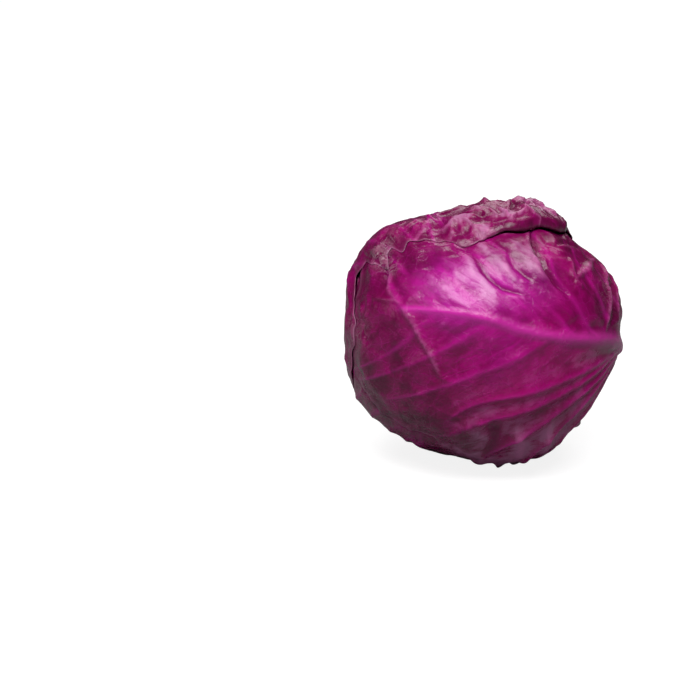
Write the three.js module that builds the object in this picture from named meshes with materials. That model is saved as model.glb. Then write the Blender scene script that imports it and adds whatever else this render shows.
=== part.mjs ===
// A whole red cabbage head lying on its side: a packed heart, a cut stem and five wrapper leaves.
// Millimetres, +Z up, origin under the middle of the head on the surface it rests on.
// Each leaf is a thin shell. Its two faces are distances from the head's middle, and the leaves are
// stacked outwards one on another, so they overlap as they grew and never touch.
import * as THREE from "three";
import { ConvexHull } from "three/addons/math/ConvexHull.js";

// Sizes of the head.
const HEART_RADIUS = 73.6;       // packed inner head, before its hollows and bulges
const HEAD_HEIGHT = 76.5;        // middle of the head above the surface
const CHART_RADIUS = 80;         // ball on which leaf shapes are measured
const STEM_CLEAR = 13;           // degrees round the stem that no leaf covers
const STEM_HOLLOW = 7;           // how far the head draws in at the stem
const GAP = 0.35;                // air between one leaf and the next
const BLADE = 1.1;               // leaf thickness
const MARGIN_BLADE = 0.85;       // leaf thickness at its margin
const PETIOLE_BLADE = 3.0;       // extra thickness where a leaf joins the stem
const SPREAD = 16;               // how far outside a margin the leaf above comes down to rest
const RIB_WIDTH = 4.8;           // of the fold in a leaf along a side rib
const STEM_SIDES = 24;

// Where the stem points, and two directions square to it: towards the viewer and upwards.
const STEM_AXIS = new THREE.Vector3(0.9013, 0.3801, -0.2076).normalize();
const FRONT = new THREE.Vector3(0.4203, -0.8834, 0.2073).projectOnPlane(STEM_AXIS).normalize();
const UPWARD = new THREE.Vector3().crossVectors(FRONT, STEM_AXIS);

// Hollows and bulges of the head: direction, millimetres, tightness.
const MOUNDS = [
  [[0.67, 0.11, 0.74], -3.0, 16], [[0.09, 0.18, 0.98], 1.0, 16], [[-0.31, 0.17, 0.94], -4.5, 16],
  [[-0.76, 0.08, 0.64], 8.5, 16], [[-1.0, -0.1, 0.03], 2.0, 16], [[-0.86, -0.23, -0.45], 5.0, 16],
  [[-0.31, -0.36, -0.88], -3.5, 16], [[0.03, -0.37, -0.93], -0.6, 16], [[0.42, -0.34, -0.84], -0.3, 16],
  [[0.74, -0.28, -0.61], -2.6, 16], [[0.92, -0.2, -0.33], -2.0, 16], [[0.96, 0.07, 0.25], 2.8, 20],
  [[-0.09, 0.27, 0.95], -1.6, 24], [[-0.9, 0.12, 0.38], 1.4, 24], [[0.966, -0.07, -0.25], -1.5, 40],
].map(([way, amount, tight]) => ({ way: new THREE.Vector3(...way).normalize(), amount, tight }));

// Leaf margins as [degrees round the leaf from its stem side, degrees out from its middle].
// Azimuths go round the stem from one leaf to the next by about 137.5 degrees.
// Ribs: side, start along the midrib, slope, curve, reach, height, half width, all in millimetres.
// Ridge and puff, below and above the midrib: how far a leaf folds up along its side ribs, and how far
// its panels swell between them. Crumple: the depth of small dents at each of DENT_ROWS across the leaf.
// Curl: how far the margin stands off.
// Creases: a line across the leaf, its height (a groove is negative) and its half width.
const DENT_ROWS = [-70, -35, 25, 50];
const FRONT_RIBS = [
  [-1, 2, 1.3, 0, 78, 0.8, 3.2], [-1, -85, 3.8, -0.027, 80, 1.0, 3.4],
  [-1, -75, 2.2, -0.0085, 98, 1.2, 3.6], [-1, -80, 1.85, -0.009, 104, 1.4, 3.8],
  [-1, -79, 1.45, -0.0088, 108, 1.5, 3.8], [-1, -84, 1.1, -0.0075, 108, 1.5, 3.8],
  [-1, -88, 0.72, -0.006, 106, 1.4, 3.6], [-1, 38, 1.25, 0, 80, 0.6, 2.8], [-1, 66, 1.1, 0, 70, 0.5, 2.6],
  [1, 36, 1.6, -0.015, 60, 0.6, 3.0], [1, 4, 1.3, -0.003, 84, 0.7, 3.2],
  [1, -14, 1.5, -0.009, 84, 0.7, 3.2], [1, -32, 1.3, -0.0105, 84, 0.8, 3.2],
  [1, -56, 1.25, -0.0095, 84, 0.9, 3.2], [1, -80, 1.3, -0.0095, 84, 1.0, 3.4],
  [1, 64, 1.0, 0, 60, 0.5, 2.6], [1, 92, 0.5, 0, 50, 0.6, 2.8],
];
const LEAVES = [
  {
    name: "wrapper_leaf_1", azimuth: -48.5, centre: 88, wave: 2.0, seed: 1, bend: 5,
    curl: 1.5, crumple: [0.6, 0.6, 0.6, 0.6],
    ridge: [1, 1], puff: [0.7, 0.7], colour: 0x86154f,
    margin: [[0, 77], [40, 80], [90, 84], [140, 92], [180, 96], [220, 94], [270, 86], [320, 79]],
    ribs: sideRibs(-88, 24, 1.15, -0.006, 7, 1.3, 11), creases: [], marginStep: 10,
  },
  {
    name: "wrapper_leaf_2", azimuth: 89, centre: 88, wave: 2.2, seed: 2, bend: -6,
    curl: 1.5, crumple: [0.6, 0.6, 0.6, 0.6],
    ridge: [1, 1], puff: [0.7, 0.7], colour: 0x7d1552,
    margin: [[0, 77], [40, 80], [90, 86], [140, 90], [180, 94], [220, 94], [270, 84], [320, 79]],
    ribs: sideRibs(-86, 25, 1.1, -0.007, 7, 1.3, -9), creases: [], marginStep: 9,
  },
  {
    name: "wrapper_leaf_3", azimuth: -133.5, centre: 88, wave: 2.4, seed: 3, bend: 7,
    curl: 1.2, crumple: [0.6, 0.6, 0.6, 0.6],
    ridge: [1.2, 1.2], puff: [0.6, 0.6], colour: 0x7a1450,
    margin: [[0, 77], [40, 79], [90, 87], [140, 93], [180, 90], [220, 95], [270, 88], [320, 79]],
    ribs: sideRibs(-88, 22, 1.05, -0.006, 8, 1.5, 9), creases: [], marginStep: 8,
  },
  {
    name: "wrapper_leaf_4", azimuth: 4, centre: 88, wave: 1.6, seed: 4, bend: 0,
    curl: 1.3, crumple: [0.5, 0.3, 0.5, 1.2],
    ridge: [1.9, 0.3], puff: [0.3, 1.7], colour: 0x8c1a62,
    margin: [[0, 77], [30, 74], [65, 64], [90, 66], [112, 73], [132, 86], [158, 100], [185, 102], [203, 101],
      [213, 96], [219, 92], [224, 87], [229, 85], [234, 79], [239, 75], [245, 76], [252, 80], [263, 80],
      [271, 79], [277, 82], [281, 80], [285, 82], [291, 77], [297, 72], [302, 63], [309, 61], [318, 66],
      [335, 70]],
    ribs: FRONT_RIBS, marginStep: 6.5,
    creases: [
      [[[60, 52], [54, 45], [49, 38], [45, 29], [41, 25], [34, 21], [28, 18], [20, 14]], -1.5, 2.4],
      [[[8, 66], [8, 59], [9, 52], [12, 41], [10, 33], [4, 29], [-1, 24], [-6, 18]], -2.6, 2.2],
      [[[32, 40], [27, 32], [21, 27], [17, 23]], -1.1, 2.2],
      [[[46, 54], [38, 46], [34, 38], [30, 30], [24, 24]], 1.2, 5.0],
      [[[28, 52], [22, 42], [17, 34], [10, 24]], 1.1, 4.5],
      [[[2, 50], [-4, 46], [-12, 44]], 0.9, 1.6],
      [[[0, 54], [-8, 50], [-18, 50]], 0.9, 1.8],
      [[[130, 18], [128, 4], [130, -10]], 0.9, 1.6],
      [[[122, 20], [121, 6], [125, -8], [124, -22]], 1.0, 1.7],
      [[[112, 12], [117, -4], [122, -16]], 0.8, 1.8],
      [[[98, 12], [86, -2], [79, -14], [70, -28], [58, -41]], 1.4, 2.8],
      [[[98, 12], [103, 26], [107, 45]], 1.3, 3.0],
      [[[94, 10], [104, 14], [116, 16]], 1.0, 2.8],
      [[[-36, 2], [-42, 15], [-48, 36], [-60, 54]], 1.8, 2.2],
      [[[-50, 8], [-56, 22], [-62, 38], [-70, 48]], 1.6, 2.2],
      [[[-44, 6], [-49, 20], [-55, 36]], -1.2, 2.2],
      [[[-10, 27], [-9, 34], [-12, 43]], 1.2, 2.2],
      [[[-10, 27], [-17, 23]], 1.0, 2.0],
      [[[-10, 27], [-22, 37], [-38, 48], [-50, 52]], 1.6, 3.0],
      [[[-4, 50], [-22, 58], [-36, 60]], -1.4, 3.0],
      [[[80, 52], [64, 50], [48, 56]], 1.0, 3.0],
      [[[8, -60], [-2, -78], [-14, -96]], 1.6, 5.0],
      [[[-12, -58], [-24, -74], [-34, -86]], 1.6, 5.0],
      [[[24, -60], [18, -80], [12, -96]], -1.2, 5.0],
    ],
  },
  {
    name: "wrapper_leaf_5", azimuth: 145, centre: 90, wave: 1.5, seed: 5, bend: -6,
    curl: 0.2, crumple: [2.6, 0.9, 0.8, 0.8],
    ridge: [0.7, 1.2], puff: [1, 0.6], colour: 0x8f4a78,
    margin: [[0, 78], [60, 86], [90, 91], [120, 94], [150, 92], [166, 92], [174, 88], [181, 77], [187, 71],
      [195, 70], [199, 78], [203, 86], [206, 80], [209, 79], [212, 84], [216, 81], [222, 85], [228, 92],
      [235, 98], [244, 100], [254, 99], [262, 98], [271, 96], [284, 92], [297, 79], [312, 72], [335, 74]],
    ribs: sideRibs(-87, 23, 1.1, -0.006, 8, 1.3, -10), marginStep: 6.5,
    creases: [
      [[[58, -94], [52, -101], [48, -107], [47, -113]], -2.4, 2.4],
      [[[86, -82], [74, -92], [64, -99]], 2.0, 2.6],
      [[[60, -103], [60, -113], [56, -119], [53, -126], [48, -131], [42, -134]], 2.0, 2.2],
      [[[29, -112], [29, -119], [30, -124], [28, -130]], 2.0, 2.2],
      [[[4, -98], [8, -106], [19, -118], [24, -122]], -2.4, 2.2],
      [[[-8, -100], [4, -114], [5, -121], [2, -126]], -2.2, 2.0],
      [[[10, -118], [5, -124], [0, -128], [3, -134]], 1.8, 2.0],
      [[[30, -127], [18, -127], [8, -122]], 1.6, 2.0],
      [[[-16, -92], [-24, -98], [-28, -106]], 1.4, 2.2],
      [[[-12, -90], [-18, -105], [-26, -121]], 1.6, 2.6],
      [[[-2, -96], [-8, -110], [-12, -124]], 1.2, 2.4],
      [[[10, -72], [14, -82], [20, -94]], 1.4, 3.0],
      [[[76, -108], [60, -112], [40, -124]], -1.2, 2.8],
      [[[44, -94], [36, -108], [38, -122]], 1.2, 2.6],
      [[[2, -92], [-14, -104], [-26, -112]], 3.6, 11],
      [[[96, -70], [84, -76], [70, -80]], 1.4, 3.0],
      [[[92, -60], [80, -66], [62, -70], [46, -68]], -1.6, 3.2],
    ],
  },
];
const FOLD_LIP = 0.4;            // how far the blade stands up beside a groove, as part of its depth
// Lobes of the front leaf's lower margin: degrees round the leaf, half width in degrees, height.
const FRILLS = [[266, 3.5, 2], [276.5, 4, 4.2], [285, 3.5, 3.2], [293.5, 4, 2], [301, 4, 2.4], [313, 5, 2.4]];
// The last leaf stands off over this stretch as a flap, with its margin rolled back under.
const FLAP = {
  leaf: "wrapper_leaf_5", from: 236, to: 289, blend: 22, height: 10, lip: 0.15, swell: 5, decay: 6,
};

// The stem as [distance along its axis, radius], from the cut end to the tip of the core.
const STEM_PROFILE = [
  [76.5, 14.4], [75.6, 15.8], [72, 15.8], [66, 14.3], [58, 12.6], [40, 9.6], [22, 7.2], [4, 4.6],
];
const CORE_START = 4;            // the profile from here on lies in the heart's socket
const CORE_GAP = 0.4;            // air between the core and the heart's socket

// Mesh spacing in millimetres.
const RIM_CLEAR = 3.4;
const CREST_STEP = 9;
const CREST_CLEAR = 3.8;
const RIB_FOOT = 5.2;            // from the crest of a rib to its foot
const FOOT_CLEAR = 3.6;
const CREASE_STEP = 7;
const CREASE_DEPTH = 1.6;        // creases at least this high or deep have points along them
const FILL_POINTS = 860;
const FILL_CLEAR = 7.2;

function sideRibs(first, step, slope, curve, count, height, shift) {
  const made = [];
  for (let i = 0; i < count; i += 1) {
    for (const side of [-1, 1]) {
      const low = Math.exp(-i / 2.5);
      const start = first + step * i + (side > 0 ? shift : 0);
      const high = height * (0.6 + 0.4 * low);
      made.push([side, start, slope + 1.4 * low, curve, 104 - 3 * i, high, 3.6 - 0.15 * i]);
    }
  }
  return made;
}

const degrees = (radians) => (radians * 180) / Math.PI;
const radians = (angle) => (angle * Math.PI) / 180;
const clamp = (value, low, high) => Math.min(Math.max(value, low), high);
const smooth = (value) => {
  const t = clamp(value, 0, 1);
  return t * t * (3 - 2 * t);
};
const turn = (angle) => ((angle % 360) + 360) % 360;

// Each leaf's own frame on the ball.
for (const leaf of LEAVES) {
  const across = radians(leaf.azimuth);
  const side = new THREE.Vector3()
    .addScaledVector(FRONT, Math.cos(across)).addScaledVector(UPWARD, Math.sin(across));
  leaf.middle = new THREE.Vector3()
    .addScaledVector(STEM_AXIS, Math.cos(radians(leaf.centre)))
    .addScaledVector(side, Math.sin(radians(leaf.centre)));
  leaf.toStem = STEM_AXIS.clone().addScaledVector(leaf.middle, -STEM_AXIS.dot(leaf.middle)).normalize();
  leaf.across = new THREE.Vector3()
    .addScaledVector(FRONT, -Math.sin(across)).addScaledVector(UPWARD, Math.cos(across));
}

function reach(leaf, angle) {
  const around = turn(angle);
  const points = leaf.margin;
  let out = points[0][1];
  for (let i = 0; i < points.length; i += 1) {
    const [a0, r0] = points[i];
    const [a1, r1] = i + 1 < points.length ? points[i + 1] : [360, points[0][1]];
    if (around >= a0 && around <= a1) out = r0 + (r1 - r0) * smooth((around - a0) / (a1 - a0));
  }
  const t = radians(around);
  const away = smooth((Math.min(around, 360 - around) - 25) / 50);
  const ripple = 0.55 * Math.sin(17 * t + 1.3 * leaf.seed)
    + 0.45 * Math.sin(29 * t + 2.1 * leaf.seed) * Math.sin(3 * t + leaf.seed);
  return out + leaf.wave * away * ripple;
}

// Leaf coordinates of a direction: x towards the tip, y across, millimetres inside the margin.
function place(leaf, way) {
  const out = degrees(Math.acos(clamp(way.dot(leaf.middle), -1, 1)));
  const angle = degrees(Math.atan2(way.dot(leaf.across), way.dot(leaf.toStem)));
  const arc = radians(out) * CHART_RADIUS;
  const fromStem = degrees(Math.acos(clamp(way.dot(STEM_AXIS), -1, 1)));
  const inside = radians(Math.min(reach(leaf, angle) - out, fromStem - STEM_CLEAR)) * CHART_RADIUS;
  return { x: -arc * Math.cos(radians(angle)), y: arc * Math.sin(radians(angle)), inside, angle, fromStem };
}

function direction(leaf, x, y) {
  const arc = Math.hypot(x, y) / CHART_RADIUS;
  const angle = Math.atan2(y, -x);
  return new THREE.Vector3()
    .addScaledVector(leaf.middle, Math.cos(arc))
    .addScaledVector(leaf.toStem, Math.sin(arc) * Math.cos(angle))
    .addScaledVector(leaf.across, Math.sin(arc) * Math.sin(angle));
}

function midline(leaf, x) {
  if (leaf.ribs === FRONT_RIBS) return -4 + 12 * smooth((x - 10) / 95);
  return leaf.bend * Math.sin(x / 55 + leaf.seed);
}

// Grown lines are never straight: how far they are pushed aside.
const pushX = (leaf, x, y) => 2.0 * Math.sin(y / 13 + leaf.seed) + 1.2 * Math.sin(y / 6.1 + x / 17);
const pushY = (leaf, x) => 1.5 * Math.sin(x / 15 + 2 * leaf.seed);

// A value that differs below and above the midrib.
const between = ([below, above], y) => below + (above - below) * smooth((y + 12) / 24);

// A fixed random number from -1 to 1 for each corner of a square net.
function scatter(seed, i, j) {
  const wild = Math.sin(i * 127.1 + j * 311.7 + seed * 74.7) * 4375.85;
  return 2 * (wild - Math.floor(wild)) - 1;
}

// Smooth random heights from -1 to 1 over slanted squares of a given size.
function lattice(seed, x, y, size) {
  const u = (0.8 * x + 0.6 * y) / size + 0.37 * seed;
  const v = (0.8 * y - 0.6 * x) / size;
  const [i, j] = [Math.floor(u), Math.floor(v)];
  const [fu, fv] = [smooth(u - i), smooth(v - j)];
  const low = scatter(seed, i, j) * (1 - fu) + scatter(seed, i + 1, j) * fu;
  const high = scatter(seed, i, j + 1) * (1 - fu) + scatter(seed, i + 1, j + 1) * fu;
  return low * (1 - fv) + high * fv;
}

// Small dents with sharp crests between them.
function crumple(leaf, x, y) {
  const k = leaf.seed * 10;
  const u = x + 3 * lattice(k + 1, x, y, 14);
  const v = y + 3 * lattice(k + 2, x, y, 14);
  const broad = 1 - 2 * Math.abs(lattice(k + 3, u, v, 17));
  const small = 1 - 2 * Math.abs(lattice(k + 4, u + v, v - u, 12));
  let depth = leaf.crumple[0];
  for (let i = 0; i + 1 < DENT_ROWS.length; i += 1) {
    const t = clamp((y - DENT_ROWS[i]) / (DENT_ROWS[i + 1] - DENT_ROWS[i]), 0, 1);
    depth += (leaf.crumple[i + 1] - leaf.crumple[i]) * t;
  }
  return (0.55 * broad + 0.35 * small - 0.3) * depth;
}

// Height of the ribs over the blade, the soft keel under them, and distance to the nearest.
function ribs(leaf, x, y) {
  const xw = x + pushX(leaf, x, y);
  const w = y + pushY(leaf, x) - midline(leaf, x);
  const along = clamp((x + 112) / 212, 0, 1);
  const left = 1 - along;
  const fade = 1 - smooth((along - 0.93) / 0.07);
  const half = 9 * left ** 1.4 + 2.8;
  const bump = 1 - smooth(Math.abs(w) / half);
  let height = (3.4 * left ** 2 + 0.7) * fade * bump;
  let keel = (0.9 + 1.3 * left) * fade * Math.exp(-((w / (6 + 6 * left)) ** 2));
  let nearest = Math.max(Math.abs(w) - half * 0.3, 0) + 20 * (1 - fade);
  const ridge = between(leaf.ridge, y);
  for (const [side, start, slope, curve, end, high, wide] of leaf.ribs) {
    const s = w * side;
    const sc = clamp(s, 0, end);
    const lean = slope + 2 * curve * sc;
    let distance = Math.abs(xw - (start + slope * sc + curve * sc * sc)) / Math.sqrt(1 + lean * lean);
    if (s < 0) distance = Math.hypot(distance, s);
    const thin = 1 - 0.45 * (sc / end);
    const stay = 1 - smooth((s - end + 18) / 18);
    const rise = 0.5 * high * thin * stay * (1 - smooth(distance / (wide * thin)));
    height = Math.max(height, rise) + 0.25 * Math.min(height, rise);
    keel = Math.max(keel, ridge * high * thin * stay * Math.exp(-((distance / RIB_WIDTH) ** 2)));
    nearest = Math.min(nearest, distance + 14 * (1 - stay));
  }
  return { height, keel, nearest };
}

function creases(leaf, x, y) {
  const xw = x + 1.1 * Math.sin(y / 4.7) + 0.8 * Math.sin(x / 3.9 + y / 7);
  const yw = y + 1.1 * Math.sin(x / 5.3 + 1);
  let total = 0;
  for (const [points, high, wide] of leaf.creases) {
    let best = Infinity;
    let along = 0;
    let side = 0;
    for (let i = 0; i + 1 < points.length; i += 1) {
      const [x0, y0] = points[i];
      const vx = points[i + 1][0] - x0;
      const vy = points[i + 1][1] - y0;
      const t = clamp(((xw - x0) * vx + (yw - y0) * vy) / (vx * vx + vy * vy), 0, 1);
      const distance = Math.hypot(xw - x0 - t * vx, yw - y0 - t * vy);
      if (distance < best) {
        best = distance;
        along = (i + t) / (points.length - 1);
        side = Math.sign(vx * (yw - y0) - vy * (xw - x0)) * distance;
      }
    }
    const taper = Math.sqrt(clamp(1 - Math.abs(2 * along - 1) ** 3, 0, 1));
    const narrow = wide * (0.4 + 0.6 * taper) * 0.8;
    const lip = high < 0 ? FOLD_LIP * Math.exp(-(((side - 2 * narrow) / (1.4 * narrow)) ** 2)) : 0;
    total += high * taper * (Math.exp(-((best / narrow) ** 2)) - lip);
  }
  return total;
}

function waves(leaf, x, y) {
  const k = leaf.seed;
  return 0.9 * (1 + 0.5 * Math.sin(x / 16 + 1.7 * k) * Math.sin(y / 14 + 0.9 * k)
    + 0.3 * Math.sin(x / 9 - y / 12 + 2.3 * k) + 0.2 * Math.sin(x / 7 + y / 6 + 0.4 * k));
}

// How far a margin stands off what it lies on.
function curl(leaf, inside, angle) {
  const depth = clamp(inside, 0, 90);
  const t = radians(angle);
  const wavy = 0.45 + 0.35 * Math.sin(9 * t + leaf.seed) + 0.25 * Math.sin(16 * t + 2 * leaf.seed);
  let plain = leaf.curl * Math.max(wavy, 0) * Math.exp(-depth / 9);
  const around = turn(angle);
  if (leaf.ribs === FRONT_RIBS) {
    for (const [middle, wide, high] of FRILLS) {
      plain += high * Math.exp(-(((around - middle) / wide) ** 2)) * Math.exp(-depth / 8);
    }
  }
  if (leaf.name !== FLAP.leaf) return plain;
  const window = smooth((around - FLAP.from) / FLAP.blend) * (1 - smooth((around - FLAP.to) / FLAP.blend));
  const roll = (FLAP.lip + depth / FLAP.swell) * Math.exp(-depth / FLAP.decay);
  return plain * (1 - window) + window * FLAP.height * roll;
}

function heartRadius(way) {
  let radius = HEART_RADIUS - STEM_HOLLOW * Math.exp((way.dot(STEM_AXIS) - 1) / 0.1);
  for (const mound of MOUNDS) radius += mound.amount * Math.exp((way.dot(mound.way) - 1) * mound.tight);
  return radius;
}

// The directions of the mesh, the same for every leaf: rims and ribs first, then an even fill.
const points = [];
function addPoint(way, clearance) {
  const nearest = Math.cos(clearance / CHART_RADIUS);
  if (points.some((other) => other.dot(way) > nearest)) return;
  points.push(way.clone().normalize());
}
const outermost = (way) => LEAVES.findLastIndex((leaf) => place(leaf, way).inside > 0);
const clearOfStem = (way) => degrees(Math.acos(clamp(way.dot(STEM_AXIS), -1, 1))) > STEM_CLEAR + 2.5;

points.push(STEM_AXIS.clone(), ...ring([Math.cos(radians(STEM_CLEAR)), Math.sin(radians(STEM_CLEAR))]));
for (const leaf of [...LEAVES].reverse()) {
  const count = Math.round((2 * Math.PI * CHART_RADIUS) / leaf.marginStep);
  for (let i = 0; i < count; i += 1) {
    const angle = (360 * i) / count;
    const arc = radians(reach(leaf, angle)) * CHART_RADIUS;
    const way = direction(leaf, -arc * Math.cos(radians(angle)), arc * Math.sin(radians(angle)));
    if (clearOfStem(way)) addPoint(way, RIM_CLEAR);
  }
}
// A point over a leaf's rib, where no other leaf hides it, found by undoing the push on grown lines.
function addCrest(index, x, y, clearance) {
  const leaf = LEAVES[index];
  let px = x;
  let py = y;
  for (let k = 0; k < 3; k += 1) {
    py = y - pushY(leaf, px);
    px = x - pushX(leaf, px, py);
  }
  const way = direction(leaf, px, py);
  if (place(leaf, way).inside > 3 && outermost(way) === index) addPoint(way, clearance);
}
// The crests go in first, then the feet of the ribs on both sides of them.
for (const foot of [0, -1, 1]) {
  const clearance = foot === 0 ? CREST_CLEAR : FOOT_CLEAR;
  LEAVES.forEach((leaf, index) => {
    for (let x = -100; x < 90; x += CREST_STEP) {
      const half = 5.5 * (1 - clamp((x + 112) / 212, 0, 1)) + RIB_FOOT;
      addCrest(index, x, midline(leaf, x) + foot * half, clearance);
    }
    for (const [side, start, slope, curve, end] of leaf.ribs) {
      for (let s = 9; s < end - 8;) {
        const lean = slope + 2 * curve * s;
        const length = Math.sqrt(1 + lean * lean);
        const x = start + slope * s + curve * s * s + (foot * RIB_FOOT) / length;
        const y = s - (foot * RIB_FOOT * lean) / length;
        addCrest(index, x, side * y + midline(leaf, x), clearance);
        s += CREST_STEP / length;
      }
    }
  });
}
// Then the bottoms and crests of the deeper creases.
LEAVES.forEach((leaf, index) => {
  for (const [line, high] of leaf.creases) {
    if (Math.abs(high) < CREASE_DEPTH) continue;
    for (let i = 0; i + 1 < line.length; i += 1) {
      const [[x0, y0], [x1, y1]] = [line[i], line[i + 1]];
      const steps = Math.ceil(Math.hypot(x1 - x0, y1 - y0) / CREASE_STEP);
      for (let k = 0; k < steps; k += 1) {
        addCrest(index, x0 + ((x1 - x0) * k) / steps, y0 + ((y1 - y0) * k) / steps, FOOT_CLEAR);
      }
    }
  }
});
for (let i = 0; i < FILL_POINTS; i += 1) {
  const z = 1 - (2 * i + 1) / FILL_POINTS;
  const around = Math.PI * (1 + Math.sqrt(5)) * i;
  const flat = Math.sqrt(1 - z * z);
  const way = new THREE.Vector3(flat * Math.cos(around), flat * Math.sin(around), z);
  if (clearOfStem(way)) addPoint(way, FILL_CLEAR);
}

// Triangles between neighbouring directions, as point numbers with the outside in front.
const indexOf = new Map(points.map((point, index) => [point, index]));
const triangles = new ConvexHull().setFromPoints(points).faces.map((face) => {
  const corners = [];
  let edge = face.edge;
  do {
    corners.push(indexOf.get(edge.head().point));
    edge = edge.next;
  } while (edge !== face.edge);
  return corners;
});
const centres = triangles.map((corners) => corners
  .reduce((sum, corner) => sum.add(points[corner]), new THREE.Vector3()).normalize());

// The triangles of one leaf: those with their middle inside the margin, in one patch whose rim never
// passes a corner twice. Corner 0 is the middle of the stem, which stays bare.
function patch(test) {
  const chosen = triangles.map((corners, index) => test(centres[index]));
  for (let round = 0; round < 20; round += 1) {
    const edges = new Set();
    triangles.forEach((corners, index) => {
      if (chosen[index]) corners.forEach((a, k) => edges.add(`${a} ${corners[(k + 1) % 3]}`));
    });
    const leaving = new Map();
    for (const key of edges) {
      const [a, b] = key.split(" ").map(Number);
      if (!edges.has(`${b} ${a}`)) leaving.set(a, (leaving.get(a) ?? 0) + 1);
    }
    const pinched = new Set([...leaving].filter(([, times]) => times > 1).map(([corner]) => corner));
    if (pinched.size === 0) break;
    triangles.forEach((corners, index) => {
      if (!corners.includes(0) && corners.some((corner) => pinched.has(corner))) chosen[index] = true;
    });
  }
  return triangles.filter((corners, index) => chosen[index]);
}
for (const leaf of LEAVES) {
  leaf.triangles = patch((way) => place(leaf, way).inside > 0);
  leaf.used = new Set(leaf.triangles.flat());
}

// Stack the leaves: inner and outer radius of each leaf at each direction.
const heart = points.map((way) => heartRadius(way));
points.forEach((way, p) => {
  const spots = LEAVES.map((leaf) => place(leaf, way));
  let rest = heart[p] + GAP;
  LEAVES.forEach((leaf, i) => {
    const { x, y, inside, angle, fromStem } = spots[i];
    const over = Math.max(0, ...spots.slice(i + 1).map((spot) => smooth((spot.inside + 4) / 12)));
    const free = 1 - 0.85 * over;
    const { height, keel, nearest } = ribs(leaf, x, y);
    const panel = between(leaf.puff, y) * (1 - Math.exp(-((nearest / 6.5) ** 2)));
    const rise = waves(leaf, x, y) * (0.4 + 0.6 * free)
      + (panel + keel + creases(leaf, x, y) + crumple(leaf, x, y) + 1.2) * free;
    const lift = Math.max(rise, 0) * (0.04 + 0.96 * smooth(inside / 16))
      + curl(leaf, inside, angle) * free;
    const margin = smooth(inside / 9);
    const blade = MARGIN_BLADE + (BLADE - MARGIN_BLADE) * margin
      + PETIOLE_BLADE * Math.exp(-clamp(fromStem - STEM_CLEAR, 0, 90) / 7);
    const thick = blade + height * free * (0.25 + 0.75 * margin);
    const cover = leaf.used.has(p) ? 1 : smooth(1 + (inside + 1) / SPREAD);
    leaf.inner ??= [];
    leaf.outer ??= [];
    leaf.inner[p] = rest + lift;
    leaf.outer[p] = rest + lift + thick;
    rest += cover * (lift + thick + GAP);
    leaf.cover ??= [];
    leaf.cover[p] = cover;
  });
  // The head's weight presses what is lowest flat, each leaf on the one below it.
  if (way.z < -0.2) {
    let floor = 0;
    for (const leaf of [...LEAVES].reverse()) {
      leaf.outer[p] = Math.min(leaf.outer[p], (HEAD_HEIGHT - floor) / -way.z);
      leaf.inner[p] = Math.min(leaf.inner[p], (HEAD_HEIGHT - floor - BLADE) / -way.z);
      floor += leaf.cover[p] * (BLADE + GAP);
    }
    heart[p] = Math.min(heart[p], (HEAD_HEIGHT - floor) / -way.z);
  }
});

function solid(name, corners, faces, colour, roughness) {
  const geometry = new THREE.BufferGeometry();
  const position = corners.flatMap((corner) => corner.toArray());
  geometry.setAttribute("position", new THREE.Float32BufferAttribute(position, 3));
  geometry.setIndex(faces.flat());
  const material = new THREE.MeshStandardMaterial({ color: colour, roughness, metalness: 0 });
  const mesh = new THREE.Mesh(geometry, material);
  mesh.name = name;
  return mesh;
}

// A closed shell: the outer face, the inner face turned round, and a wall along every rim.
function leafSolid(leaf) {
  const corners = [];
  const number = new Map();
  for (const p of leaf.used) {
    number.set(p, corners.length);
    corners.push(points[p].clone().multiplyScalar(leaf.outer[p]));
    corners.push(points[p].clone().multiplyScalar(leaf.inner[p]));
  }
  const edges = new Set(leaf.triangles.flatMap((t) => t.map((a, k) => `${a} ${t[(k + 1) % 3]}`)));
  const faces = [];
  for (const [a, b, c] of leaf.triangles) {
    const [oa, ob, oc] = [a, b, c].map((p) => number.get(p));
    faces.push([oa, ob, oc], [oc + 1, ob + 1, oa + 1]);
  }
  for (const key of edges) {
    const [a, b] = key.split(" ").map(Number);
    if (edges.has(`${b} ${a}`)) continue;
    const [oa, ob] = [number.get(a), number.get(b)];
    faces.push([ob, oa, oa + 1], [ob, oa + 1, ob + 1]);
  }
  return solid(leaf.name, corners, faces, leaf.colour, 0.45);
}

// Rings round the stem's axis, from [distance, radius] pairs.
function ring([distance, radius]) {
  return Array.from({ length: STEM_SIDES }, (unused, i) => {
    const around = (2 * Math.PI * i) / STEM_SIDES;
    return new THREE.Vector3()
      .addScaledVector(STEM_AXIS, distance)
      .addScaledVector(FRONT, radius * Math.cos(around))
      .addScaledVector(UPWARD, radius * Math.sin(around));
  });
}
// Triangles from one ring to the next, and from a ring to one closing point, facing the stem's axis
// and its end. Turned round, they face away.
function band(first, second) {
  return first.flatMap((corner, i) => {
    const j = (i + 1) % STEM_SIDES;
    return [[corner, second[j], first[j]], [corner, second[i], second[j]]];
  });
}
const fan = (rim, tip) => rim.map((corner, i) => [corner, tip, rim[(i + 1) % STEM_SIDES]]);
const turned = (faces) => faces.map(([a, b, c]) => [c, b, a]);

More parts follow.
